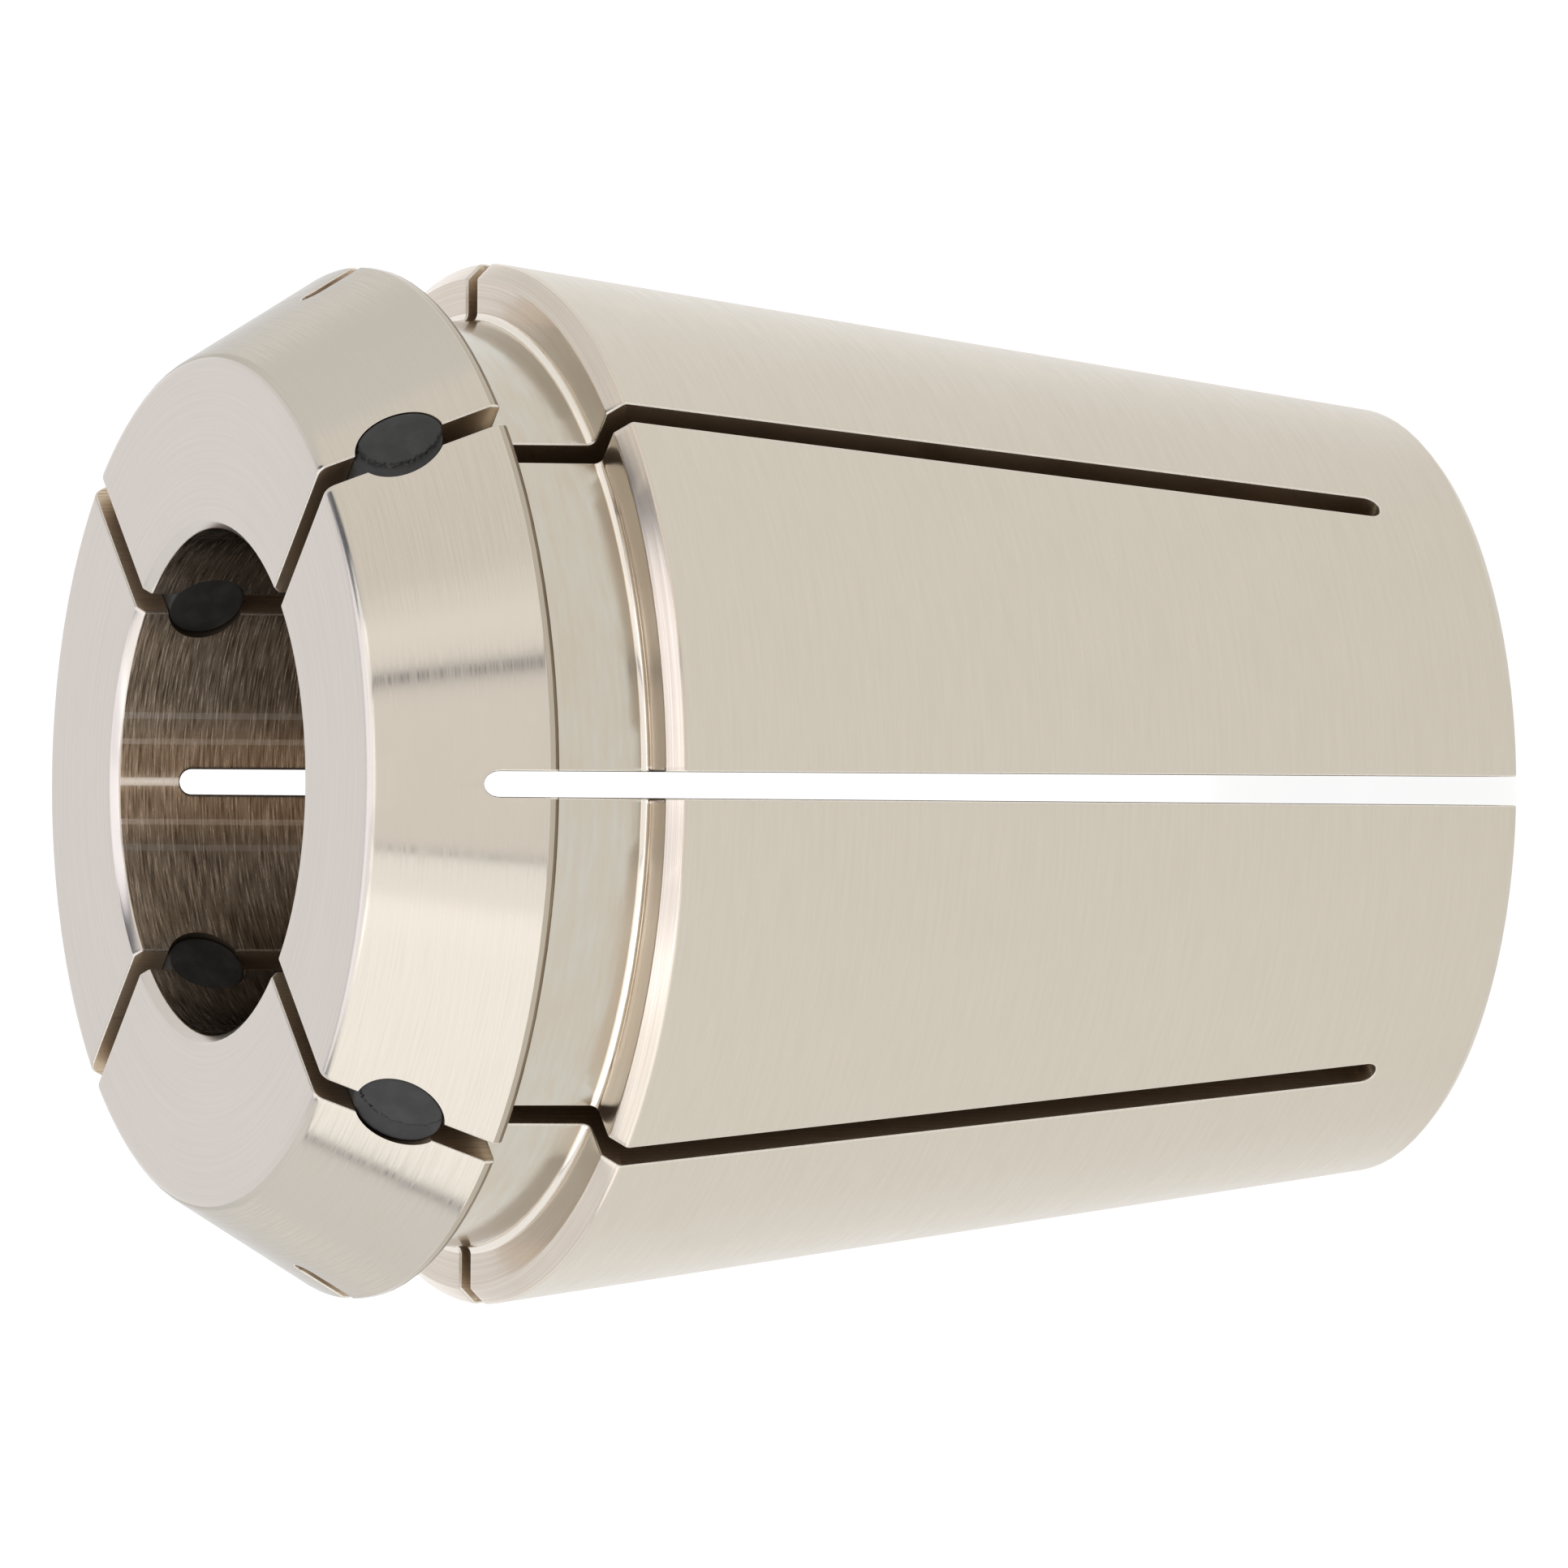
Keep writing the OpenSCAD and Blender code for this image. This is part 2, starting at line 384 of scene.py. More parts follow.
def turned_skin():
    """One eighth of the turned surface: every row of the closed section, swept from a rear slot to a front slot.

    A point is (r cos a, r sin a, z), where the azimuth a runs from the rear slot's edge to the front slot's edge.
    """
    starts = [azimuth(points) for points in beside_slot(REAR_SAW, EDGE_BREAK, 0.0)]
    stops = [np.pi / 4 - azimuth(points) for points in beside_slot(FRONT_SAW, EDGE_BREAK, 0.0)]
    for start, stop in zip(starts, stops):
        start[HIGH_ROWS[-1]:] = 0
        stop[:LOW_ROWS[0] + 1] = np.pi / 4
    nose, tail = across_face(FRONT_SAW, EDGE_BREAK, 0.0), across_face(REAR_SAW, EDGE_BREAK, 0.0)
    quarter = np.full(ACROSS - 1, np.pi / 4)
    start = np.concatenate([starts[0], 0 * quarter, starts[1][::-1], azimuth(tail)[::-1]])
    stop = np.concatenate([stops[0], quarter - azimuth(nose), stops[1][::-1], quarter])
    nose, tail = (np.stack([np.hypot(face[:, 0], face[:, 1]), face[:, 2]], 1) for face in (nose, tail))
    outer, inner = (on_section(section, rows) for section, rows in zip(SECTIONS, ROWS))
    section = np.concatenate([outer, nose, inner[::-1], tail[::-1]])
    part = np.linspace(0, 1, AROUND + 1)
    part = part - DRAWN_TO_SLOTS * np.sin(2 * np.pi * part)
    a = start[:, None] + (stop - start)[:, None] * part
    r, z = section[:, :1], section[:, 1:]
    return np.stack([r * np.cos(a), r * np.sin(a), z + 0 * a], -1)


def skin_finishes():
    """The number of the finish on each row of faces of the turned skin."""
    outer, inner = np.zeros((2, LAST), int)
    for rows, starts in zip((outer, inner), FINISH_STARTS):
        for start, finish in starts:
            rows[start:] = FINISHES.index(finish)
    face = np.full(ACROSS, FINISHES.index("faced end"))
    return np.concatenate([outer, face, inner[::-1], face])


def grid_faces(grid, closed=False, flip=False):
    """Quads between neighbouring rows and columns of a grid. A closed grid's last row is joined to its first."""
    numbers = np.arange(grid.shape[0] * grid.shape[1]).reshape(grid.shape[:2])
    here, there = (numbers, np.roll(numbers, -1, 0)) if closed else (numbers[:-1], numbers[1:])
    faces = np.stack([here[:, :-1], there[:, :-1], there[:, 1:], here[:, 1:]], -1).reshape(-1, 4)
    return faces[:, ::-1] if flip else faces


def body_surface():
    """Vertices, faces and finishes of the whole body before the socket and the plug holes are cut.

    One eighth is worked out, mirrored in the plane of a rear slot, and both are turned four times.
    """
    half = np.sqrt(0.5)
    to_front = np.array([[half, half, 0], [half, -half, 0], [0, 0, 1]])
    skin = turned_skin()
    patches = [(skin, grid_faces(skin, closed=True, flip=True), np.repeat(skin_finishes(), AROUND))]
    for grid, flip, finish in ((slot_edge(REAR_SAW), False, "broken edge"), (slot_wall(REAR_SAW), False, "sawn slot"),
                               (slot_edge(FRONT_SAW) @ to_front, False, "broken edge"),
                               (slot_wall(FRONT_SAW) @ to_front, True, "sawn slot")):
        faces = grid_faces(grid, flip=flip)
        patches.append((grid, faces, np.full(len(faces), FINISHES.index(finish))))
    sizes = np.cumsum([0] + [grid.shape[0] * grid.shape[1] for grid, _, _ in patches])
    vertices = np.concatenate([grid.reshape(-1, 3) for grid, _, _ in patches])
    faces = np.concatenate([faces + size for (_, faces, _), size in zip(patches, sizes)])
    finishes = np.concatenate([finish for _, _, finish in patches])

    all_vertices, all_faces = [], []
    for turn in np.arange(4) * np.pi / 2:
        c, s = np.cos(turn), np.sin(turn)
        for mirror in (1, -1):
            place = np.array([[c, s, 0], [-s * mirror, c * mirror, 0], [0, 0, 1]])
            all_faces.append((faces if mirror == 1 else faces[:, ::-1]) + len(vertices) * len(all_faces))
            all_vertices.append(vertices @ place)
    return np.concatenate(all_vertices), np.concatenate(all_faces), np.tile(finishes, len(all_faces))


# The cutting tools for the socket and the plug holes

def prism(outline, low, high):
    """A closed prism on an outline in the xy plane, from z = low to z = high."""
    count = len(outline)
    vertices = np.concatenate([np.c_[outline, np.full(count, low)], np.c_[outline, np.full(count, high)]])
    here = np.arange(count)
    there = np.roll(here, -1)
    sides = np.stack([here, there, there + count, here + count], 1).tolist()
    return vertices, sides + [here[::-1].tolist(), (here + count).tolist()]


def ring(radius, count, start=0.0, sweep=2 * np.pi):
    """Points on a circle: the radius times (cos a, sin a), a going round by the sweep in count even steps."""
    a = start + sweep * np.arange(count) / count
    return radius * np.stack([np.cos(a), np.sin(a)], 1)


def socket_outline():
    """The socket's square with a quarter circle in each corner."""
    centre = SOCKET_FLATS / 2 - SOCKET_CORNER_R
    points = CORNER_STEPS + 1
    return np.concatenate([
        ring(np.sqrt(2) * centre, 1, start)
        + ring(SOCKET_CORNER_R, points, start - np.pi / 4, np.pi / 2 * points / CORNER_STEPS)
        for start in np.pi / 4 + np.arange(4) * np.pi / 2])


def plug_frame(index):
    """Rows: up along the collet, sideways, and out along the plug of this number."""
    a = np.pi / 4 + PLUG_TURN + index * 2 * np.pi / PLUG_COUNT
    return np.array([[0, 0, 1], [-np.sin(a), np.cos(a), 0], [np.cos(a), np.sin(a), 0]])


# Meshes and objects

def make_mesh(name, vertices, faces, finishes=None, tear_and_shade=None):
    """A welded mesh in metres, with its normals outward. torn is a value for each vertex that the rubber reads."""
    mesh = bpy.data.meshes.new(name)
    mesh.from_pydata(vertices * MM, [], faces if isinstance(faces, list) else faces.tolist())
    if finishes is not None:
        mesh.polygons.foreach_set("material_index", finishes)
    # The value for each vertex holds the tear along a plug's step and the painted shade there
    if tear_and_shade is not None:
        mesh.attributes.new("tear_and_shade", "FLOAT", "POINT").data.foreach_set("value", tear_and_shade)
    work = bmesh.new()
    work.from_mesh(mesh)
    bmesh.ops.remove_doubles(work, verts=work.verts, dist=WELD)
    bmesh.ops.recalc_face_normals(work, faces=work.faces)
    work.to_mesh(mesh)
    work.free()
    return mesh


def make_object(name, data):
    piece = bpy.data.objects.new(name, data)
    bpy.context.scene.collection.objects.link(piece)
    return piece


def collet_body():
    """The steel body, with the socket and the plug holes cut out of its surface."""
    blank = make_object("collet_blank", make_mesh("collet_blank", *body_surface()))
    solids = [prism(socket_outline(), -CUT_PAST, BORE_BOTTOM_Z + CUT_PAST)]
    for index in range(PLUG_COUNT):
        rod, sides = prism(ring(HOLE_R, HOLE_CORNERS), BORE_R / 2, RIM_R + CUT_PAST)
        solids.append((rod @ plug_frame(index) + [0, 0, PLUG_Z], sides))
    starts = np.cumsum([0] + [len(points) for points, _ in solids])
    tools = make_object("cutting_tools", make_mesh(
        "cutting_tools", np.concatenate([points for points, _ in solids]),
        [[number + int(start) for number in face] for (_, sides), start in zip(solids, starts) for face in sides]))

    for finish in FINISHES:
        blank.data.materials.append(STEEL[finish])
    tools.data.materials.append(STEEL["broached socket"])
    cut = blank.modifiers.new("cut", "BOOLEAN")
    cut.object, cut.operation, cut.solver = tools, "DIFFERENCE", "MANIFOLD"
    mesh = bpy.data.meshes.new_from_object(blank.evaluated_get(bpy.context.evaluated_depsgraph_get()))
    mesh.name = "collet_steel"
    for piece in (blank, tools):
        bpy.data.objects.remove(piece)
    mesh.shade_smooth()
    mesh.set_sharp_from_angle(angle=SHARP_BEND)
    body = make_object("collet_steel", mesh)
    even = body.modifiers.new("even shading", "WEIGHTED_NORMAL")
    even.keep_sharp = True
    even.weight = 100
    return body


def rubber_plug(index):
    """A plug in its hole, on the axes of plug_frame: u up along the collet, v sideways and w out along the plug.

    At a distance d from the plug's axis, in the direction t, u = d cos t and v = d sin t. The outer end lies on the
    cone, w = sqrt(R(u)^2 - v^2). The round rim turns through e from 0 to 90 degrees, and at d = PLUG_R - PLUG_RIM +
    PLUG_RIM sin e both ends drop by PLUG_RIM (1 - cos e). Outside the raised disc the outer end drops by the
    crescent's depth too, smoothly over the crescent's rim. The inner end is flat. Along the disc's edge the rubber
    has a tear, darkened as painted shade of the step: torn = how badly times exp(-(off / TEAR_AND_SHADE_WIDTH)^2),
    where off is the distance from the middle of the step.
    """
    t = np.linspace(0, 2 * np.pi, PLUG_AROUND, endpoint=False)[:, None]
    e = np.linspace(0, np.pi / 2, PLUG_RIM_STEPS + 1)
    flat = np.linspace(0, PLUG_R - PLUG_RIM, PLUG_ACROSS + 1)[:-1]
    d = np.concatenate([flat, PLUG_R - PLUG_RIM + PLUG_RIM * np.sin(e)])[None, :]
    drop = np.concatenate([0 * flat, PLUG_RIM * (1 - np.cos(e))])[None, :]
    u, v = d * np.cos(t), d * np.sin(t)
    disc_u, disc_v, disc_r = RAISED_DISCS[index]
    toward = np.arctan2(v - disc_v, u - disc_u)
    ragged = sum(height * np.sin(waves * toward + shift * index) for waves, height, shift in RAGGED_WAVES)
    past = np.hypot(u - disc_u, v - disc_v) - disc_r - ragged
    outside = np.clip(past / CRESCENT_RIM, 0, 1)
    cone_r = RIM_R - (PLUG_Z + u - RIM_TOP_Z) * CONE_SLOPE
    outer = np.sqrt(cone_r**2 - v**2) - drop - CRESCENT_DEPTH * outside**2 * (3 - 2 * outside)
    inner = PLUG_INNER_R + drop + 0 * u
    grid = np.concatenate([np.stack([u, v, outer], -1), np.stack([u, v, inner], -1)[:, ::-1]], 1)
    # The tear along the step, with painted shade there, fades off over its width
    tear_and_shade = PLUG_TEARS_AND_SHADE[index] * np.exp(-((past - CRESCENT_RIM / 2) / TEAR_AND_SHADE_WIDTH) ** 2)
    name = f"seal_{index + 1}"
    plug = make_object(name, make_mesh(name, grid.reshape(-1, 3) @ plug_frame(index) + [0, 0, PLUG_Z],
                                       grid_faces(grid, closed=True),
                                       tear_and_shade=np.concatenate([tear_and_shade, 0 * tear_and_shade], 1).ravel()))
    plug.data.materials.append(RUBBER)
    plug.data.shade_smooth()
    return plug


# Materials

# Nearly all of the noise lies between these values
NOISE_LOW, NOISE_HIGH = 0.225, 0.775
# Cloudy patches per millimetre
CLOUDS = 0.35
# Painted highlights: pale lines along the bore for the light that comes in through the slots. Each row: distance
# from a rear slot's plane, half width, strength
PAINTED_LIGHT_LINES = [(0.0, 0.13, 0.95), (1.28, 0.09, 0.7), (2.1, 0.1, 0.55)]
# The pale tone of these painted highlights
PAINTED_LIGHT_TONE = "#FFF4E6"
# How far out along X the painted shade on the bore's two fingers starts and is full, and its tone
DARK_FROM, DARK_TO, PAINTED_SHADE_TONE = 4.6, 5.7, "#5A5C5E"
# The tangent on the steel points this far down, and out by the distance from the axis
TANGENT_DOWN = 15.0
# Grains of the ground rubber, and patches of dust on it, per millimetre. Real grains are about 0.02 mm across, too
# fine to show, so they are drawn about five times as coarse.
RUBBER_GRAINS, RUBBER_DUST = 9.0, 1.4
RUBBER_RELIEF = 0.01


def to_linear(hex_colour):
    """An sRGB hex colour as linear red, green, blue and full opacity."""
    channels = [int(hex_colour[i:i + 2], 16) / 255 for i in (1, 3, 5)]
    return [c / 12.92 if c <= 0.04045 else ((c + 0.055) / 1.055) ** 2.4 for c in channels] + [1.0]


def node(tree, kind, inputs=None, **settings):
    """Add a node. settings are its properties, and inputs maps a socket to a value or to another node's output."""
    new = tree.nodes.new("ShaderNode" + kind)
    for key, value in settings.items():
        setattr(new, key, value)
    for key, value in (inputs or {}).items():
        if isinstance(value, bpy.types.NodeSocket):
            tree.links.new(value, new.inputs[key])
        else:
            new.inputs[key].default_value = value
    return new


def new_material(name):
    """A material of this name, its node tree and its shader."""
    material = bpy.data.materials.new(name)
    material.use_nodes = True
    return material, material.node_tree, material.node_tree.nodes["Principled BSDF"]


def steel(name, colour, dark, roughness, spread, along, across, slant=0.0, relief=0.0004, anisotropic=0.6,
          edge="#FFFFFF", cloudy=0.25, lines=(), painted_shade_sides=0.0):
    """Bare tool steel with the marks of one way of working it.

    colour and dark are the tone between and in the marks, roughness its middle value and spread how far the marks
    move it. A mark is about `along` mm long and `across` mm wide, and `slant` turns it out of the way round the
    axis. relief is the depth of the marks in mm. anisotropic is how much the gloss spreads across the marks, and
    edge tints what the steel mirrors at a grazing angle. cloudy is the strength of soft patches beside the marks.
    lines are painted highlights along the axis, for light that comes in through the slots: distance from the
    planes of the rear slots, half width and strength.
    painted_shade_sides is how much painted shade darkens the bore in its two fingers at the ends of the X axis.
    """
    material, tree, shader = new_material(name)
    place = node(tree, "TexCoord").outputs["Object"]
    mm = node(tree, "VectorMath", {0: place, "Scale": 1 / MM}, operation="SCALE").outputs[0]
    # The way round starts in a front slot, where its seam doesn't show
    turned = node(tree, "Mapping", {"Vector": mm, "Rotation": (0, 0, np.pi / 4)}).outputs[0]
    part = node(tree, "SeparateXYZ", {0: turned})
    flat = node(tree, "VectorMath", {0: mm, 1: (1, 1, 0)}, operation="MULTIPLY").outputs[0]
    radius = node(tree, "VectorMath", {0: flat}, operation="LENGTH").outputs["Value"]
    angle = node(tree, "Math", {0: part.outputs[1], 1: part.outputs[0]}, operation="ARCTAN2").outputs[0]
    way_round = node(tree, "Math", {0: angle, 1: radius}, operation="MULTIPLY").outputs[0]
    # Height less radius counts up along the outside, across the faces and along the bore
    climb = node(tree, "Math", {0: part.outputs[2], 1: radius}, operation="SUBTRACT").outputs[0]
    sheet = node(tree, "CombineXYZ", {0: way_round, 1: climb}).outputs[0]
    marks_at = node(tree, "Mapping", {"Vector": sheet, "Rotation": (0, 0, slant),
                                      "Scale": (1 / along, 1 / across, 1)}, vector_type="POINT").outputs[0]
    marks = node(tree, "TexNoise", {"Vector": marks_at, "Scale": 1.0, "Detail": 3.0, "Roughness": 0.6},
                 noise_dimensions="2D").outputs[0]
    cloud = node(tree, "TexNoise", {"Vector": mm, "Scale": CLOUDS, "Detail": 2.0}).outputs[0]
    mixed = node(tree, "Math", {0: cloud, 1: cloudy, 2: marks}, operation="MULTIPLY_ADD").outputs[0]
    low, high = NOISE_LOW + cloudy / 2, NOISE_HIGH + cloudy / 2
    shade = node(tree, "MapRange", {"Value": mixed, "From Min": low, "From Max": high}).outputs[0]
    tone = node(tree, "Mix", {"Factor": shade, "A": to_linear(dark), "B": to_linear(colour)},
                data_type="RGBA").outputs["Result"]
    if lines or painted_shade_sides:
        absolute = node(tree, "VectorMath", {0: mm}, operation="ABSOLUTE").outputs[0]
        sides = node(tree, "SeparateXYZ", {0: absolute})
        aside = node(tree, "Math", {0: sides.outputs[0], 1: sides.outputs[1]}, operation="MINIMUM").outputs[0]
        # Painted highlights: pale lines where light comes in through the slots
        for distance, half_width, strength in lines:
            line = node(tree, "Math", {0: aside, 1: distance, 2: half_width}, operation="COMPARE").outputs[0]
            amount = node(tree, "Math", {0: line, 1: strength}, operation="MULTIPLY").outputs[0]
            tone = node(tree, "Mix", {"Factor": amount, "A": tone, "B": to_linear(PAINTED_LIGHT_TONE)},
                        data_type="RGBA").outputs["Result"]
        # Painted shade on the bore's two fingers at the ends of the X axis
        beside = node(tree, "MapRange", {"Value": sides.outputs[0], "From Min": DARK_FROM, "From Max": DARK_TO,
                                         "To Max": painted_shade_sides}).outputs[0]
        tone = node(tree, "Mix", {"Factor": beside, "A": tone, "B": to_linear(PAINTED_SHADE_TONE)},
                    data_type="RGBA").outputs["Result"]
    tree.links.new(tone, shader.inputs["Base Color"])
    rough = node(tree, "MapRange", {"Value": mixed, "From Min": low, "From Max": high,
                                    "To Min": roughness + spread, "To Max": roughness - spread}).outputs[0]
    tree.links.new(rough, shader.inputs["Roughness"])
    bump = node(tree, "Bump", {"Height": marks, "Distance": relief * MM, "Strength": 1.0}).outputs[0]
    tree.links.new(bump, shader.inputs["Normal"])
    # Gloss spreads across the marks: the tangent points down and out, which is across them on every surface
    across_marks = node(tree, "VectorMath", {0: flat, 1: (0, 0, -TANGENT_DOWN)}, operation="ADD").outputs[0]
    tree.links.new(across_marks, shader.inputs["Tangent"])
    shader.inputs["Metallic"].default_value = 1.0
    shader.inputs["Anisotropic"].default_value = anisotropic
    shader.inputs["Specular Tint"].default_value = to_linear(edge)
    return material


def rubber(name, colour, pale, tear_and_shade_dark, torn_pale):
    """Ground rubber: colour with pale grinding dust on it, and a ragged speckled tear with painted shade on the step.
    """
    material, tree, shader = new_material(name)
    place = node(tree, "TexCoord").outputs["Object"]
    grain = node(tree, "TexNoise", {"Vector": place, "Scale": RUBBER_GRAINS / MM, "Detail": 4.0}).outputs[0]
    dust = node(tree, "TexNoise", {"Vector": place, "Scale": RUBBER_DUST / MM, "Detail": 3.0}).outputs[0]
    shade = node(tree, "MapRange", {"Value": dust, "From Min": 0.4, "From Max": 0.8}).outputs[0]
    tone = node(tree, "Mix", {"Factor": shade, "A": to_linear(colour), "B": to_linear(pale)},
                data_type="RGBA").outputs["Result"]
    speck = node(tree, "MapRange", {"Value": grain, "From Min": 0.5, "From Max": 0.62}).outputs[0]
    ragged = node(tree, "Mix", {"Factor": speck, "A": to_linear(tear_and_shade_dark), "B": to_linear(torn_pale)},
                  data_type="RGBA").outputs["Result"]
    # The ragged line along each plug's step is a tear with painted shade: dark specks darken the step
    tear_and_shade = node(tree, "Attribute", attribute_name="tear_and_shade").outputs["Fac"]
    tone = node(tree, "Mix", {"Factor": tear_and_shade, "A": tone, "B": ragged}, data_type="RGBA").outputs["Result"]
    tree.links.new(tone, shader.inputs["Base Color"])
    # A tear is too rough to shine, and the dull line also darkens the step as painted shade
    shine = node(tree, "MapRange", {"Value": tear_and_shade, "To Min": 0.5, "To Max": 0.0}).outputs[0]
    tree.links.new(shine, shader.inputs["Specular IOR Level"])
    bump = node(tree, "Bump", {"Height": grain, "Distance": RUBBER_RELIEF * MM}).outputs[0]
    tree.links.new(bump, shader.inputs["Normal"])
    shader.inputs["Roughness"].default_value = 0.55
    shader.inputs["IOR"].default_value = 1.52
    return material


# All of the body is one hardened tool steel, and each surface has the finish of the way it was worked. Real marks
# are 0.005 to 0.03 mm wide, too fine to show from the camera, so they are drawn several times as coarse.
STEEL = {
    # Ground on centres: hair-fine lines round the axis give a calm satin sheen with no clear reflections
    "ground taper": steel("ground_tool_steel", "#C9C1B3", "#C5BDAE", 0.3, 0.03, 2.5, 0.12, relief=0.0002),
    # Turned with a sharp tool and left bright: long grooves round the axis give a clear, pale gleam
    "turned shoulder": steel("turned_bright_tool_steel", "#DED4C7", "#CCBFAF", 0.22, 0.05, 14.0, 0.08,
                             relief=0.0008),
    # Rubbed smooth by the tool's round nose, and painted paler than the turned steel beside it: a painted highlight
    # gives the corner of the groove its thin bright line
    "burnished fillet with painted highlight": steel("burnished_tool_steel_painted_highlight", "#F6EEE2", "#EAE1D3", 0.16, 0.02, 12.0, 0.09),
    # Turned and then hardened: a cooler, slightly stained grey with soft patches on the groove's floor
    "turned neck": steel("turned_tool_steel", "#C0BCB0", "#BFB5A5", 0.18, 0.04, 2.5, 0.3, relief=0.0002,
                         anisotropic=0.3, cloudy=1.2),
    # Painted shade: the rim's rounded rear edge is given a dull dark brown for the dark line under the rim
    "rim edge with painted shade": steel("rim_edge_painted_shade_steel", "#857661", "#655848", 0.35, 0.08, 3.0, 0.1),
    # Ground with the cone but only just touched: a narrow band that is darker than its neighbours
    "ground land": steel("plain_ground_tool_steel", "#B2A898", "#A99F8F", 0.2, 0.03, 12.0, 0.09),
    # Ground with a finer wheel than the taper: nearly a mirror, so the panels and the gaps between them show as
    # streaks that the fine lines stretch from the face to the rim
    "ground cone": steel("fine_ground_tool_steel", "#D0C8BB", "#CCC4B6", 0.18, 0.06, 3.0, 0.1, relief=0.0002,
                         anisotropic=0.95, edge="#DADADA"),
    # Faced and lapped flat: very faint circles on an even, soft grey
    "faced end": steel("faced_tool_steel", "#D5CDC4", "#D0C8BF", 0.22, 0.015, 8.0, 0.1, relief=0.00015),
    # Honed: short slanting scratches cross the bore, warm brown from the light that bounces to and fro in it, with
    # paler lines painted in as highlights where light comes in through the slots. The two fingers at its sides are
    # nearly black in the photograph, as light hardly gets there. The panels here do reach them, so they are given a
    # darker tone of painted shade.
    "honed bore": steel("honed_tool_steel", "#FDE8CE", "#9A856C", 0.235, -0.06, 1.2, 0.06, slant=0.14, relief=0.0005,
                        anisotropic=1.0, edge="#060403", lines=PAINTED_LIGHT_LINES, painted_shade_sides=0.55),
    # Slit with a thin saw and not touched again: rough and brownish, so the slots look dark
    "sawn slot": steel("sawn_tool_steel", "#D0BEA7", "#AA967E", 0.4, 0.08, 0.12, 3.0),
    # Deburred with abrasive bristles: a soft pale line along each slot
    "broken edge": steel("deburred_tool_steel", "#D8D1C6", "#CCC5B8", 0.28, 0.04, 3.0, 0.1),
    # Broached along the axis and brown from hardening: dull and dark
    "broached socket": steel("broached_tool_steel", "#9A8A77", "#6E604F", 0.4, 0.08, 0.15, 4.0),
}
# Nitrile rubber ground off flush with the cone: charcoal with a dull sheen, and paler where the dust has stuck
RUBBER = rubber("nitrile_rubber", "#181715", "#2B2A28", "#050505", "#45423E")


# Pieces

body = collet_body()
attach(body, "root")
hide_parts("collet_body")
for index in range(PLUG_COUNT):
    plug = rubber_plug(index)
    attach(plug, "root")
    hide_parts(f"seal_plug_{index + 1}")


# Camera, floor and light

def photo_camera():
    """The photograph's camera, from a pinhole fit to the edges: the collet's axis lies across the picture.

    It looks down by the angle `down` from the -Y side and is rolled so that the nose points left. It stands
    `distance` mm from the middle of the nose face, moved by the two shifts across the view.
    """
    distance, down, roll = 803.1, np.radians(23.2358), np.radians(0.3994)
    right_shift, low_shift = 18.2228, 0.0654
    picture_px, focal_px, sensor = 1932, 31367.0, 36.0
    forward = np.array([0, np.cos(down), -np.sin(down)])
    level_right, level_low = np.array([0, -np.sin(down), -np.cos(down)]), np.array([-1.0, 0, 0])
    right = np.cos(roll) * level_right - np.sin(roll) * level_low
    low = np.sin(roll) * level_right + np.cos(roll) * level_low
    place = np.array([0, 0, LENGTH]) + right_shift * right + low_shift * low - distance * forward
    lens = bpy.data.cameras.new("photo_camera")
    lens.sensor_width, lens.lens = sensor, focal_px / picture_px * sensor
    lens.clip_start, lens.clip_end = 0.01, 100.0
    camera = make_object("photo_camera", lens)
    camera.matrix_world = Matrix(np.block([[np.stack([right, -low, -forward], 1), place[:, None] * MM],
                                           [np.zeros((1, 3)), np.ones((1, 1))]]).tolist())
    bpy.context.scene.camera = camera


def floor(reach, glow, colour):
    """A pale square sheet that reaches this far from the axis, lit from below as on a light table."""
    corners = reach * np.array([(-1.0, -1, 0), (1, -1, 0), (1, 1, 0), (-1, 1, 0)])
    sheet = make_object("floor", make_mesh("floor", corners, [[0, 1, 2, 3]]))
    # Opal acrylic: evenly white, with no reflection of the collet
    material, _, shader = new_material("opal_acrylic")
    shader.inputs["Base Color"].default_value = to_linear(colour)
    shader.inputs["Roughness"].default_value = 0.7
    shader.inputs["Emission Color"].default_value = to_linear("#FFFFFF")
    shader.inputs["Emission Strength"].default_value = glow
    sheet.data.materials.append(material)


def softbox(name, width, height, radiance, colour):
    """A rectangular lamp whose face is equally bright whatever its size, since energy = radiance * pi * area."""
    box = bpy.data.lights.new(name, "AREA")
    box.shape = "RECTANGLE"
    box.size, box.size_y = width, height
    box.energy = radiance * np.pi * width * height
    box.color = to_linear(colour)[:3]
    return make_object(name, box)


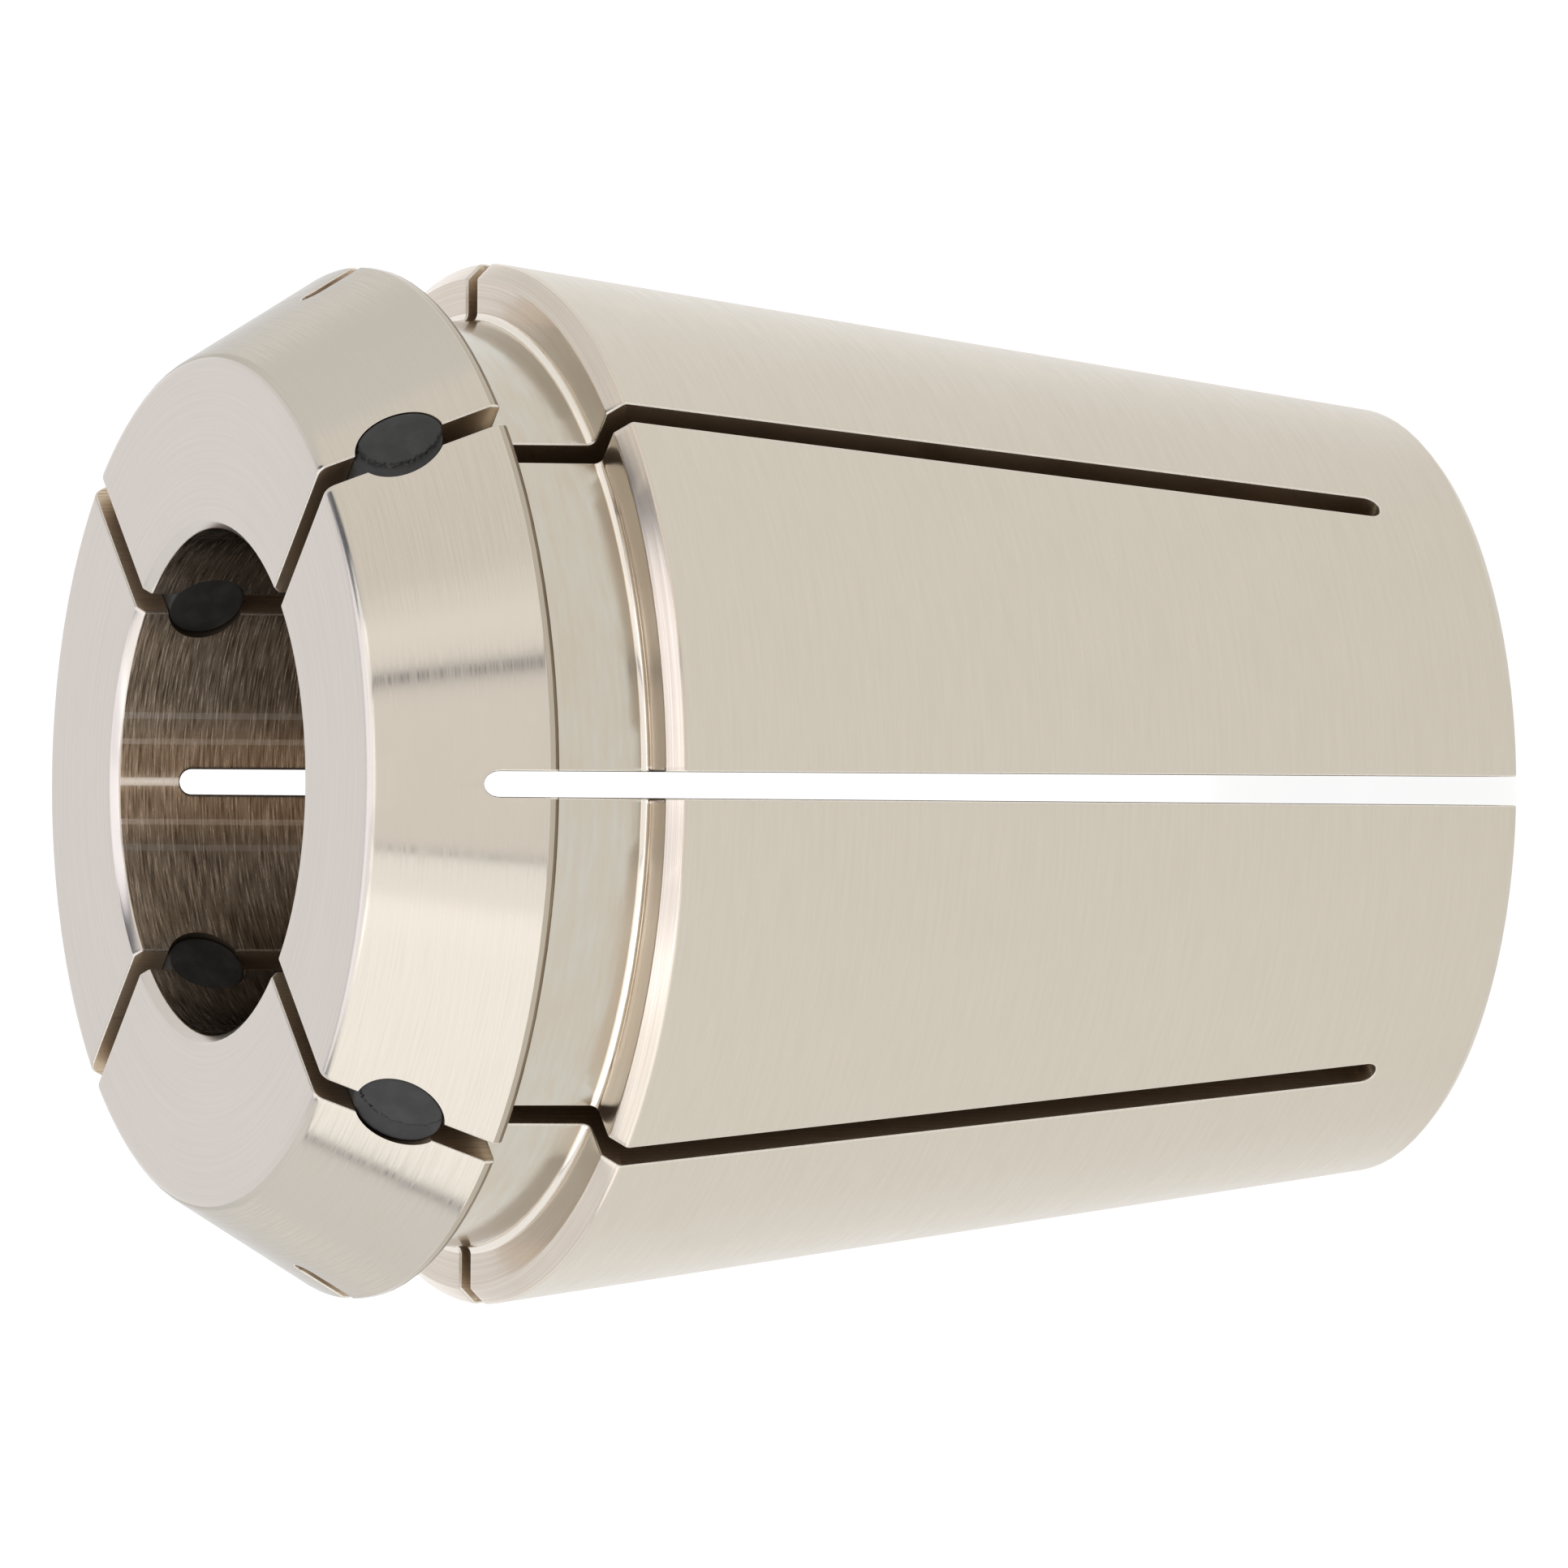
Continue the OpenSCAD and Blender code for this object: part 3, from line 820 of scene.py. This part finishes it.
def panel(name, start, stop, low, high, radiance, colour):
    """An upright softbox that faces the collet's axis and spans these azimuths and elevations, in degrees.

    Azimuth 0 is on the camera's side and +90 on the +X side.
    """
    middle, half = np.radians((start + stop) / 2), np.radians((stop - start) / 2)
    bottom, top = PANEL_DISTANCE * np.tan(np.radians((low, high)))
    lamp = softbox(name, 2 * PANEL_DISTANCE * np.tan(half), top - bottom, radiance, colour)
    towards = Vector((np.sin(middle), -np.cos(middle), 0))
    lamp.location = towards * PANEL_DISTANCE + Vector((0, 0, (top + bottom) / 2))
    lamp.rotation_euler = towards.to_track_quat("Z", "Y").to_euler()


def overhead(name, left, right, front, back, radiance, colour):
    """A level softbox over the collet that spans these places along X and Y, in metres."""
    lamp = softbox(name, right - left, back - front, radiance, colour)
    lamp.location = ((left + right) / 2, (front + back) / 2, OVERHEAD_HEIGHT)


# Distance of the upright panels from the axis and height of the level ones, in metres
PANEL_DISTANCE = 1.2
OVERHEAD_HEIGHT = 1.6
# Each row: name, azimuths from and to, elevations from and to, radiance and colour. The gaps between the panels give
# the dark streaks on the nose cone.
PANELS = [
    ("left_panel", -105.5, -32, 1, 60, 1.3, "#FFFFFF"),
    ("left_front_panel", -32, -19.5, 1, 60, 1.12, "#FFFEFC"),
    ("front_panel", -18.5, 28.1, 1, 60, 0.88, "#FFFAF4"),
    ("right_front_panel", 30.9, 52, 1, 51, 0.97, "#FFFBF6"),
    ("right_panel", 52, 104, 1, 48, 0.87, "#FFFBF4"),
    ("right_back_panel", 104, 158, 1, 49, 0.78, "#FFFEFA"),
    ("back_panel", 158, 202, 1, 50, 0.86, "#FFFDFB"),
    ("left_back_panel", 202, 252.5, 1, 47, 0.86, "#FFFFFF"),
]
# Each row: name, X from and to, Y from and to, radiance and colour
OVERHEADS = [
    ("overhead_right", -0.15, 1.16, -1.1, 0.0, 1.42, "#F8F8FF"),
    ("overhead_left", -0.98, -0.15, -1.1, 0.0, 1.15, "#F8F8FF"),
    ("overhead_rear", -0.98, 0.6, 0.0, 1.2, 1.3, "#F8F8FF"),
]
FLOOR_REACH, FLOOR_GLOW, FLOOR_COLOUR = 4000.0, 0.93, "#606060"
ROOM_COLOUR = "#5A606E"

photo_camera()
floor(FLOOR_REACH, FLOOR_GLOW, FLOOR_COLOUR)
world = bpy.data.worlds.new("dim_room")
world.use_nodes = True
world.node_tree.nodes["Background"].inputs["Color"].default_value = to_linear(ROOM_COLOUR)
bpy.context.scene.world = world
for row in PANELS:
    panel(*row)
for row in OVERHEADS:
    overhead(*row)
bpy.context.scene.view_settings.view_transform = "Standard"
